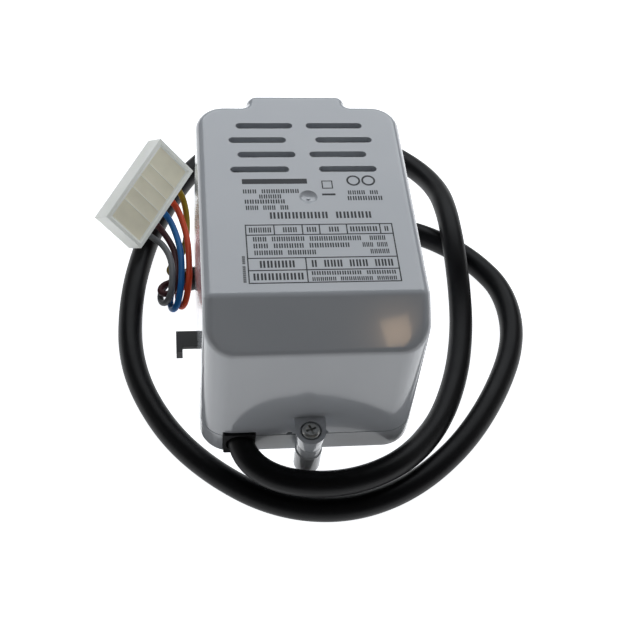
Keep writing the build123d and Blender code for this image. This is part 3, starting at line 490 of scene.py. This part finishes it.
def merged_copy(name, node, sharp_deg):
    """A CAD piece's shape with its points joined and its true edges kept crisp."""
    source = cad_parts[node].data
    bm = bmesh.new()
    bm.from_mesh(source)
    bmesh.ops.remove_doubles(bm, verts=bm.verts, dist=1e-6)
    bmesh.ops.dissolve_degenerate(bm, edges=bm.edges, dist=1e-7)
    for face in bm.faces:
        face.smooth = True
    limit = radians(sharp_deg)
    for edge in bm.edges:
        edge.smooth = len(edge.link_faces) == 2 and edge.calc_face_angle(0.0) < limit
    mesh = bpy.data.meshes.new(name)
    bm.to_mesh(mesh)
    bm.free()
    return mesh


def weigh_normals(piece):
    """Keeps flat faces flat where they run into a rounded edge."""
    weighted = piece.modifiers.new("Flat faces", "WEIGHTED_NORMAL")
    weighted.keep_sharp = True
    weighted.weight = 50


def line_curve(name, points, width, steps, material):
    """A round cord along smooth points given in millimetres."""
    curve = bpy.data.curves.new(name, "CURVE")
    curve.dimensions = "3D"
    curve.resolution_u = steps
    curve.render_resolution_u = steps
    curve.bevel_depth = width / 2
    curve.bevel_resolution = 6
    curve.use_fill_caps = True
    spline = curve.splines.new("NURBS")
    spline.points.add(len(points) - 1)
    for point, place in zip(spline.points, points):
        point.co = (*(Vector(place) * MM), 1.0)
    spline.order_u = 3
    spline.use_endpoint_u = True
    curve.materials.append(material)
    piece = bpy.data.objects.new(name, curve)
    bpy.context.collection.objects.link(piece)
    return piece


def connector_matrix():
    """The connector's own axes: x along it, y to the wires and z to its window side."""
    up = CONNECTOR_LONG.cross(CONNECTOR_OUT)
    turn = Matrix((CONNECTOR_LONG, CONNECTOR_OUT, up)).transposed().to_4x4()
    return Matrix.Translation(CONNECTOR_AT * MM) @ turn


def core_points(seat_deg, way, route):
    """A core's whole route, from inside the jacket's end to inside the connector."""
    end = Vector(CORD_ROUTE[-1])
    along = (end - Vector(CORD_ROUTE[-2])).normalized()
    side = along.cross(Vector((0, 0, 1))).normalized()
    angle = radians(seat_deg)
    seat = end + side * (CORE_RING * cos(angle)) + Vector((0, 0, CORE_RING * sin(angle)))
    centre = CONNECTOR_AT + CONNECTOR_LONG * (way * WAY_PITCH)
    face = CONNECTOR_SIZE[1] / 2
    return [seat, seat + along * CORE_STRAIGHT, *map(Vector, route),
            centre + CONNECTOR_OUT * (face + CORE_STRAIGHT),
            centre + CONNECTOR_OUT * (face - CORE_SEATING)]


class ACTUATOR_OT_stage(bpy.types.Operator):
    """Make the pale floor, the soft light and the camera"""

    bl_idname = "actuator.stage"
    bl_label = "Stage and camera"

    def execute(self, context):
        settings = context.scene.actuator_stage
        self.camera(context)
        self.floor(settings)
        self.lights(context, settings)
        context.scene.view_settings.view_transform = "Standard"
        return {"FINISHED"}

    def camera(self, context):
        """The viewpoint, turned, dipped and rolled."""
        turn, dip, roll = radians(VIEW_TURN), radians(VIEW_DIP), radians(VIEW_ROLL)
        ahead = Vector((sin(turn) * cos(dip), cos(turn) * cos(dip), -sin(dip)))
        right = ahead.cross(Vector((0, 0, 1))).normalized()
        up = right.cross(ahead)
        across = right * cos(roll) + up * sin(roll)
        above = up * cos(roll) - right * sin(roll)
        camera = bpy.data.cameras.new("camera")
        camera.lens = VIEW_LENS
        camera.sensor_width = 36.0
        camera.clip_start = 0.01
        seen = bpy.data.objects.new("camera", camera)
        seen.matrix_world = (Matrix.Translation(VIEW_PLACE)
                             @ Matrix((across, above, -ahead)).transposed().to_4x4())
        context.collection.objects.link(seen)
        context.scene.camera = seen

    def floor(self, settings):
        """A pale floor, bright to the camera and in reflections, dimmer as bounced light."""
        bm = bmesh.new()
        bmesh.ops.create_grid(bm, x_segments=1, y_segments=1, size=settings.floor_size / 2)
        bmesh.ops.translate(bm, verts=bm.verts, vec=(0, 0, -FLOOR_GAP))
        mesh = bpy.data.meshes.new("floor")
        bm.to_mesh(mesh)
        bm.free()
        floor = bpy.data.objects.new("floor", mesh)
        bpy.context.collection.objects.link(floor)
        material = bpy.data.materials.new("lit floor")
        material.use_nodes = True
        tree = material.node_tree
        principled = tree.nodes["Principled BSDF"]
        principled.inputs["Base Color"].default_value = (0.9, 0.9, 0.9, 1)
        principled.inputs["Roughness"].default_value = 0.6
        principled.inputs["Emission Color"].default_value = (0.97, 0.985, 1.0, 1)
        ray = tree.nodes.new("ShaderNodeLightPath").outputs["Is Diffuse Ray"]
        glow = between(tree, ray, settings.floor_glow, settings.floor_bounce, 0.0, 1.0)
        tree.links.new(glow, principled.inputs["Emission Strength"])
        mesh.materials.append(material)

    def lights(self, context, settings):
        """Soft lights, and a room that is pale to the camera and dim to all else."""
        self.softbox("light behind", *LIGHT_BEHIND, settings.key_power, (0.93, 0.965, 1.0))
        self.softbox("light left", *LIGHT_LEFT, settings.side_power, (1.0, 1.0, 1.0))
        self.softbox("light right", *LIGHT_RIGHT, settings.side_power, (1.0, 0.99, 0.97))
        self.softbox("warm glint", GLINT_PLACE, GLINT_SIZE, settings.glint_power, (1.0, 0.70, 0.44),
                     GLINT_AIM)
        world = bpy.data.worlds.new("plain room")
        context.scene.world = world
        world.use_nodes = True
        tree = world.node_tree
        room = tree.nodes["Background"]
        room.inputs["Color"].default_value = (0.97, 0.985, 1.0, 1)
        ray = tree.nodes.new("ShaderNodeLightPath").outputs["Is Camera Ray"]
        glow = between(tree, ray, settings.sky, settings.floor_glow, 0.0, 1.0)
        tree.links.new(glow, room.inputs["Strength"])

    def softbox(self, name, place, size, power, colour, target=LIGHT_AIM):
        """A rectangle of light that the camera doesn't see."""
        light = bpy.data.lights.new(name, "AREA")
        light.shape = "RECTANGLE"
        light.size, light.size_y = size
        light.energy = power
        light.color = colour
        lamp = bpy.data.objects.new(name, light)
        aim = Vector(target) - Vector(place)
        lamp.location = place
        lamp.rotation_euler = aim.to_track_quat("-Z", "Y").to_euler()
        lamp.visible_camera = False
        bpy.context.collection.objects.link(lamp)


class ACTUATOR_OT_finishes(bpy.types.Operator):
    """Make the shared skins and every material"""

    bl_idname = "actuator.finishes"
    bl_label = "Finishes"

    def execute(self, context):
        casing = context.scene.actuator_casing
        cords = context.scene.actuator_cords
        moulded_skin()
        rolled_metal()
        cord_skin()
        scuffs()
        gloss = casing.gloss
        surface("polished cover", "Moulded skin", 0.35, scuff=0.4, tint=casing.plastic,
                shade=casing.plastic_shade, scale=38.0, low_gloss=gloss * 0.8, high_gloss=gloss * 1.25,
                waviness=0.55, grain=0.012,
                shader={"IOR": 1.53, "Coat Weight": 0.35, "Coat Roughness": 0.04})
        # The base's paler tint paints in extra light on the same white ABS as the cover.
        surface("moulded base", "Moulded skin", 0.35, scuff=0.4, tint=casing.base_plastic_with_painted_light,
                shade=casing.plastic, scale=38.0, low_gloss=gloss, high_gloss=gloss * 1.5,
                waviness=0.5, grain=0.02,
                shader={"IOR": 1.53, "Coat Weight": 0.25, "Coat Roughness": 0.05})
        surface("printing ink", "Moulded skin", 0.1, tint=casing.ink, shade=(0.055, 0.058, 0.066),
                scale=120.0, low_gloss=0.45, high_gloss=0.6, waviness=0.1, grain=0.2,
                shader={"IOR": 1.45})
        surface("black nylon", "Moulded skin", 0.3, tint=(0.007, 0.007, 0.008),
                shade=(0.011, 0.011, 0.013), scale=90.0, low_gloss=0.3, high_gloss=0.45, waviness=0.2,
                grain=0.25, shader={"IOR": 1.53, "Specular IOR Level": 0.3})
        surface("white acetal", "Moulded skin", 0.2, tint=(0.80, 0.79, 0.74), shade=(0.74, 0.73, 0.68),
                scale=90.0, low_gloss=0.3, high_gloss=0.4, waviness=0.1, grain=0.1,
                shader={"IOR": 1.48, "Subsurface Weight": 0.1})
        # The natural nylon's emission is a painted glow: the housing shines faintly as if light passed
        # through it, though it is no lamp.
        surface("natural nylon", "Moulded skin", 0.3, tint=cords.connector, shade=(0.80, 0.82, 0.775),
                scale=110.0, low_gloss=0.28, high_gloss=0.42, waviness=0.3, grain=0.25,
                shader={"IOR": 1.53, "Specular IOR Level": 0.4, "Subsurface Weight": 0.25,
                        "Subsurface Scale": 0.0015, "Subsurface Radius": (1.0, 0.95, 0.85),
                        "Emission Color": (0.93, 0.96, 0.92, 1.0), "Emission Strength": 0.17})
        # The yellowed nylon of the window carries the same painted glow through its emission; its yellow
        # is the nylon's own colour.
        surface("yellowed nylon", "Moulded skin", 0.3, tint=(0.80, 0.765, 0.61),
                shade=(0.71, 0.68, 0.54),
                scale=140.0, low_gloss=0.35, high_gloss=0.5, waviness=0.3, grain=0.25,
                shader={"IOR": 1.53, "Specular IOR Level": 0.35, "Subsurface Weight": 0.2,
                        "Subsurface Scale": 0.0015, "Subsurface Radius": (1.0, 0.9, 0.7),
                        "Emission Color": (0.92, 0.89, 0.72, 1.0), "Emission Strength": 0.17})
        surface("zinc plate", "Rolled metal", 0.15, tint=(0.60, 0.60, 0.58), shade=(0.53, 0.54, 0.53),
                scale=700.0, low_gloss=0.22, high_gloss=0.42, pits=0.2, shader={"Metallic": 1.0})
        surface("drawn steel", "Rolled metal", 0.12, scuff=0.3, tint=(0.40, 0.41, 0.42),
                shade=(0.37, 0.38, 0.39), scale=320.0, low_gloss=0.28, high_gloss=0.38, pits=0.1,
                shader={"Metallic": 1.0})
        surface("turned brass", "Rolled metal", 0.25, tint=(0.72, 0.52, 0.24), shade=(0.62, 0.44, 0.20),
                scale=500.0, low_gloss=0.2, high_gloss=0.34, pits=0.1, shader={"Metallic": 1.0})
        surface("enamelled copper", "Rolled metal", 0.6, tint=(0.60, 0.24, 0.11),
                shade=(0.46, 0.16, 0.07),
                scale=2400.0, low_gloss=0.25, high_gloss=0.4, pits=1.0,
                shader={"Metallic": 0.8, "Coat Weight": 0.5, "Coat Roughness": 0.1})
        surface("ferrite", "Rolled metal", 0.4, tint=(0.045, 0.044, 0.046), shade=(0.07, 0.068, 0.068),
                scale=900.0, low_gloss=0.5, high_gloss=0.7, pits=0.6, shader={"IOR": 1.6})
        dust = (0.045, 0.046, 0.05)
        surface("cord jacket", "Cord skin", 0.12, tint=cords.jacket, dust=dust, dustiness=0.08,
                low_gloss=0.36, high_gloss=0.48, grain=0.5,
                shader={"IOR": 1.5, "Specular IOR Level": 0.2})
        surface("rubber", "Cord skin", 0.2, tint=(0.010, 0.010, 0.011), dust=dust, dustiness=0.2,
                low_gloss=0.5, high_gloss=0.65, grain=0.7,
                shader={"IOR": 1.5, "Specular IOR Level": 0.2})
        for name in CORES:
            tint = getattr(cords, name)
            pale = tuple(0.8 * part + 0.012 for part in tint)
            surface(f"core {name}", "Cord skin", 0.1, tint=tint, dust=pale, dustiness=0.3,
                    low_gloss=0.36, high_gloss=0.5, grain=0.3,
                    shader={"IOR": 1.5, "Specular IOR Level": 0.28})
        return {"FINISHED"}


class ACTUATOR_OT_casing(bpy.types.Operator):
    """Make the moulded cover, base, grommet and lever"""

    bl_idname = "actuator.casing"
    bl_label = "Casing"

    def execute(self, context):
        settings = context.scene.actuator_casing
        self.moulding("cover_moulding", "cover", "cover", "white_abs", "polished cover")
        self.moulding("base_moulding", "base", "base", "white_abs", "moulded base")
        lever = self.moulding("lever_moulding", "manual_lever", "lever", "black_nylon", "black nylon")
        self.soften(lever, settings.edge_radius)
        grommet = self.moulding("grommet_moulding", "cable_grommet", "base", "black_pvc", "rubber")
        self.soften(grommet, settings.edge_radius)
        return {"FINISHED"}

    def moulding(self, name, node, body, slot, material):
        """A moulded piece in the CAD piece's own shape."""
        mesh = merged_copy(name, node, CRISP_EDGE)
        piece = show(name, mesh, body, [material_named(material)])
        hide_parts(node)
        weigh_normals(piece)
        return piece

    def soften(self, piece, radius):
        """Rounds a small moulding's edges before its normals are weighed."""
        bevel = piece.modifiers.new("Soft edges", "BEVEL")
        bevel.width = radius
        bevel.segments = 2
        bevel.limit_method = "ANGLE"
        bevel.angle_limit = radians(50)
        piece.modifiers.move(len(piece.modifiers) - 1, 0)


class ACTUATOR_OT_printing(bpy.types.Operator):
    """Print the rating table's lines and blank bars on the cover"""

    bl_idname = "actuator.printing"
    bl_label = "Printing"

    def execute(self, context):
        settings = context.scene.actuator_casing
        bm = bmesh.new()
        line = settings.line_width / MM
        self.rules(bm, settings, line)
        for bar in BARS:
            self.blocks(bm, settings, bar, False)
        x, y_high, y_low, height, words = SIDE_BAR
        self.blocks(bm, settings, (y_low, y_high, x, height, words), True)
        self.badges(bm, settings)
        mesh = bpy.data.meshes.new("printing")
        bm.to_mesh(mesh)
        bm.free()
        show("printing", mesh, "cover", [material_named("printing ink")])
        return {"FINISHED"}

    def patch(self, bm, settings, x0, x1, y0, y1):
        """One flat patch of ink."""
        low = COVER_TOP - INK_SUNK
        size = Vector((abs(x1 - x0) * MM, abs(y1 - y0) * MM, settings.ink_height + INK_SUNK))
        middle = Vector(((x0 + x1) / 2 * MM, (y0 + y1) / 2 * MM, low + size.z / 2))
        place = Matrix.Translation(middle) @ Matrix.Diagonal((*size, 1.0))
        bmesh.ops.create_cube(bm, size=1.0, matrix=place)

    def rules(self, bm, settings, line):
        """The table's outline, rows and dividers."""
        half = line / 2
        left, right = TABLE_X
        for y in TABLE_Y:
            self.patch(bm, settings, left - half, right + half, y - half, y + half)
        uprights = [(x, TABLE_Y[0], TABLE_Y[-1]) for x in TABLE_X]
        uprights += [(x, TABLE_Y[0], TABLE_Y[1]) for x in FIRST_ROW_X]
        uprights.append((LOWER_ROWS_X, TABLE_Y[2], TABLE_Y[4]))
        for x, top, foot in uprights:
            self.patch(bm, settings, x - half, x + half, top - half, foot + half)

    def blocks(self, bm, settings, bar, upright):
        """A row of blank strokes set in words, or one plain bar for a single wide word."""
        x0, x1, y, height, words = bar
        if words == (1,) and x1 - x0 > height:
            self.patch(bm, settings, x0, x1, y - height / 2, y + height / 2)
            return
        count = sum(words) + WORD_GAP * (len(words) - 1)
        step = (x1 - x0) / (count - LETTER_GAP)
        sides = (y - height / 2, y + height / 2)
        cursor = x0
        for word in words:
            for _ in range(word):
                for start, end in STROKES:
                    ends = (cursor + step * start, cursor + step * end)
                    if upright:
                        self.patch(bm, settings, *sides, *ends)
                    else:
                        self.patch(bm, settings, *ends, *sides)
                cursor += step
            cursor += step * WORD_GAP

    def badges(self, bm, settings):
        """A plain square outline and two plain rings."""
        top = COVER_TOP + settings.ink_height
        for (x, y), outer, inner, corners in BADGES:
            at = Matrix.Translation((x * MM, y * MM, top)) @ Matrix.Rotation(radians(45), 4, "Z")
            disc = bmesh.ops.create_circle(bm, cap_ends=True, segments=corners, radius=outer * MM,
                                           matrix=at)
            face = disc["verts"][0].link_faces[0]
            bmesh.ops.inset_region(bm, faces=[face], thickness=(outer - inner) * MM,
                                   use_boundary=True)
            bmesh.ops.delete(bm, geom=[face], context="FACES_ONLY")


class ACTUATOR_OT_cord(bpy.types.Operator):
    """Lay the black cord and its five cores"""

    bl_idname = "actuator.cord"
    bl_label = "Cord and cores"

    def execute(self, context):
        settings = context.scene.actuator_cords
        cord = line_curve("cord", CORD_ROUTE, settings.jacket_width, settings.line_steps,
                          material_named("cord jacket"))
        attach(cord, "base")
        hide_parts("cable")
        for name, (seat_deg, way, length, route) in CORES.items():
            points = core_points(seat_deg, way, route)
            core = line_curve(f"core_{name}", points, settings.core_width, settings.line_steps,
                              material_named(f"core {name}"))
            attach(core, "base")
            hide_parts(f"wire_{name}")
        self.leads(settings)
        return {"FINISHED"}

    def leads(self, settings):
        """The switch's and the motor's leads inside the casing."""
        for name, (core, length, route) in LEADS.items():
            lead = line_curve(name, route, settings.lead_width, settings.line_steps,
                              material_named(f"core {core}"))
            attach(lead, "base")
            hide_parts("inner_leads")


class ACTUATOR_OT_connector(bpy.types.Operator):
    """Make the five-way connector's housing"""

    bl_idname = "actuator.connector"
    bl_label = "Connector"

    def execute(self, context):
        bm = bmesh.new()
        size = Vector(CONNECTOR_SIZE) * MM
        bmesh.ops.create_cube(bm, size=1.0, matrix=Matrix.Diagonal((*size, 1.0)))
        self.window(bm)
        self.cavities(bm)
        bmesh.ops.transform(bm, matrix=connector_matrix(), verts=bm.verts)
        bmesh.ops.recalc_face_normals(bm, faces=bm.faces)
        mesh = bpy.data.meshes.new("connector_shell")
        bm.to_mesh(mesh)
        bm.free()
        # Both nylon finishes carry a painted glow in place of light passing through the housing.
        piece = show("connector_shell", mesh, "base",
                     [material_named("natural nylon"), material_named("yellowed nylon")])
        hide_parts("connector_housing")
        bevel = piece.modifiers.new("Moulded edges", "BEVEL")
        bevel.width = 0.00028
        bevel.segments = 3
        bevel.limit_method = "ANGLE"
        bevel.angle_limit = radians(40)
        bevel.harden_normals = True
        for face in mesh.polygons:
            face.use_smooth = True
        finish_nodes(material_named("turned brass"), "connector_contacts")
        return {"FINISHED"}

    def split_ways(self, bm, face, thickness):
        """Frames a face and cuts what is inside into one field for each way."""
        bmesh.ops.inset_region(bm, faces=[face], thickness=thickness)
        fields = [face]
        for index in range(1, WAYS):
            x = (index - WAYS / 2) * WAY_PITCH * MM
            edges = {edge for field in fields for edge in field.edges}
            verts = {vert for field in fields for vert in field.verts}
            cut = bmesh.ops.bisect_plane(bm, geom=[*fields, *edges, *verts], plane_co=(x, 0, 0),
                                         plane_no=(1, 0, 0), dist=1e-7)
            fields = [item for item in cut["geom"] if isinstance(item, bmesh.types.BMFace)]
        return fields

    def window(self, bm):
        """Sinks the window face and dishes each way's field inside it."""
        top = max(bm.faces, key=lambda face: face.calc_center_median().z)
        rim, sunk = WINDOW_RIM
        bmesh.ops.inset_region(bm, faces=[top], thickness=WINDOW_FRAME)
        bmesh.ops.inset_region(bm, faces=[top], thickness=rim, depth=sunk)
        fields = self.split_ways(bm, top, WINDOW_BORDER)
        for thickness, depth in WINDOW_STEPS:
            bmesh.ops.inset_individual(bm, faces=fields, thickness=thickness, depth=depth)
        for field in fields:
            field.material_index = 1
            for edge in field.edges:
                for face in edge.link_faces:
                    face.material_index = 1

    def cavities(self, bm):
        """Opens one square cavity for each core in the wire side."""
        face = max(bm.faces, key=lambda item: item.calc_center_median().y)
        fields = self.split_ways(bm, face, CAVITY_FRAME)
        bmesh.ops.inset_individual(bm, faces=fields, thickness=CAVITY_WALL, depth=0.0)
        bmesh.ops.inset_individual(bm, faces=fields, thickness=CAVITY_DRAFT, depth=-CAVITY_DEPTH)


class ACTUATOR_OT_works(bpy.types.Operator):
    """Finish the screws, gears, motor, switch and the other pieces inside"""

    bl_idname = "actuator.works"
    bl_label = "Works"

    def execute(self, context):
        finish_nodes(material_named("zinc plate"), "cover_screw", "plate_screws", "motor_screws",
                     "switch_screws", "clamp_screws", "gear_plate", "spindle_circlip")
        finish_nodes(material_named("drawn steel"), "sector_gear", "return_spring", "output_shaft",
                     "idler_axle", "rotor_shaft", "motor_can", "switch_arm", "switch_arm_pin")
        finish_nodes(material_named("turned brass"), "spindle_bush", "drive_spindle", "switch_terminals")
        finish_nodes(material_named("white acetal"), "lever_gear", "switch_cam", "output_wheel",
                     "idler_gear", "switch_plunger")
        finish_nodes(material_named("black nylon"), "gearbox_housing", "stator_bobbin", "switch_body",
                     "cord_clamp")
        finish_nodes(material_named("ferrite"), "rotor_magnet")
        finish_nodes(material_named("enamelled copper"), "stator_winding")
        return {"FINISHED"}


OPERATORS = (ACTUATOR_OT_stage, ACTUATOR_OT_finishes, ACTUATOR_OT_casing, ACTUATOR_OT_printing,
             ACTUATOR_OT_connector, ACTUATOR_OT_cord, ACTUATOR_OT_works)


class ACTUATOR_PT_panel(bpy.types.Panel):
    """Buttons and settings of the actuator"""

    bl_idname = "ACTUATOR_PT_panel"
    bl_label = "Valve actuator"
    bl_space_type = "VIEW_3D"
    bl_region_type = "UI"
    bl_category = "Actuator"

    def draw(self, context):
        for operator in OPERATORS:
            self.layout.operator(operator.bl_idname)
        for settings in (context.scene.actuator_casing, context.scene.actuator_cords,
                         context.scene.actuator_stage):
            box = self.layout.box()
            for title in settings.__annotations__:
                box.prop(settings, title)


GROUPS = {"actuator_casing": ActuatorCasing, "actuator_cords": ActuatorCords,
          "actuator_stage": ActuatorStage}


def register():
    for group in GROUPS.values():
        bpy.utils.register_class(group)
    for name, group in GROUPS.items():
        setattr(bpy.types.Scene, name, PointerProperty(type=group))
    for operator in OPERATORS:
        bpy.utils.register_class(operator)
    bpy.utils.register_class(ACTUATOR_PT_panel)


def unregister():
    bpy.utils.unregister_class(ACTUATOR_PT_panel)
    for operator in reversed(OPERATORS):
        bpy.utils.unregister_class(operator)
    for name, group in GROUPS.items():
        delattr(bpy.types.Scene, name)
        bpy.utils.unregister_class(group)


def main():
    register()
    bpy.ops.actuator.stage()
    bpy.ops.actuator.finishes()
    bpy.ops.actuator.casing()
    bpy.ops.actuator.printing()
    bpy.ops.actuator.connector()
    bpy.ops.actuator.cord()
    bpy.ops.actuator.works()
    bpy.context.view_layer.update()


if __name__ == "__main__":
    main()
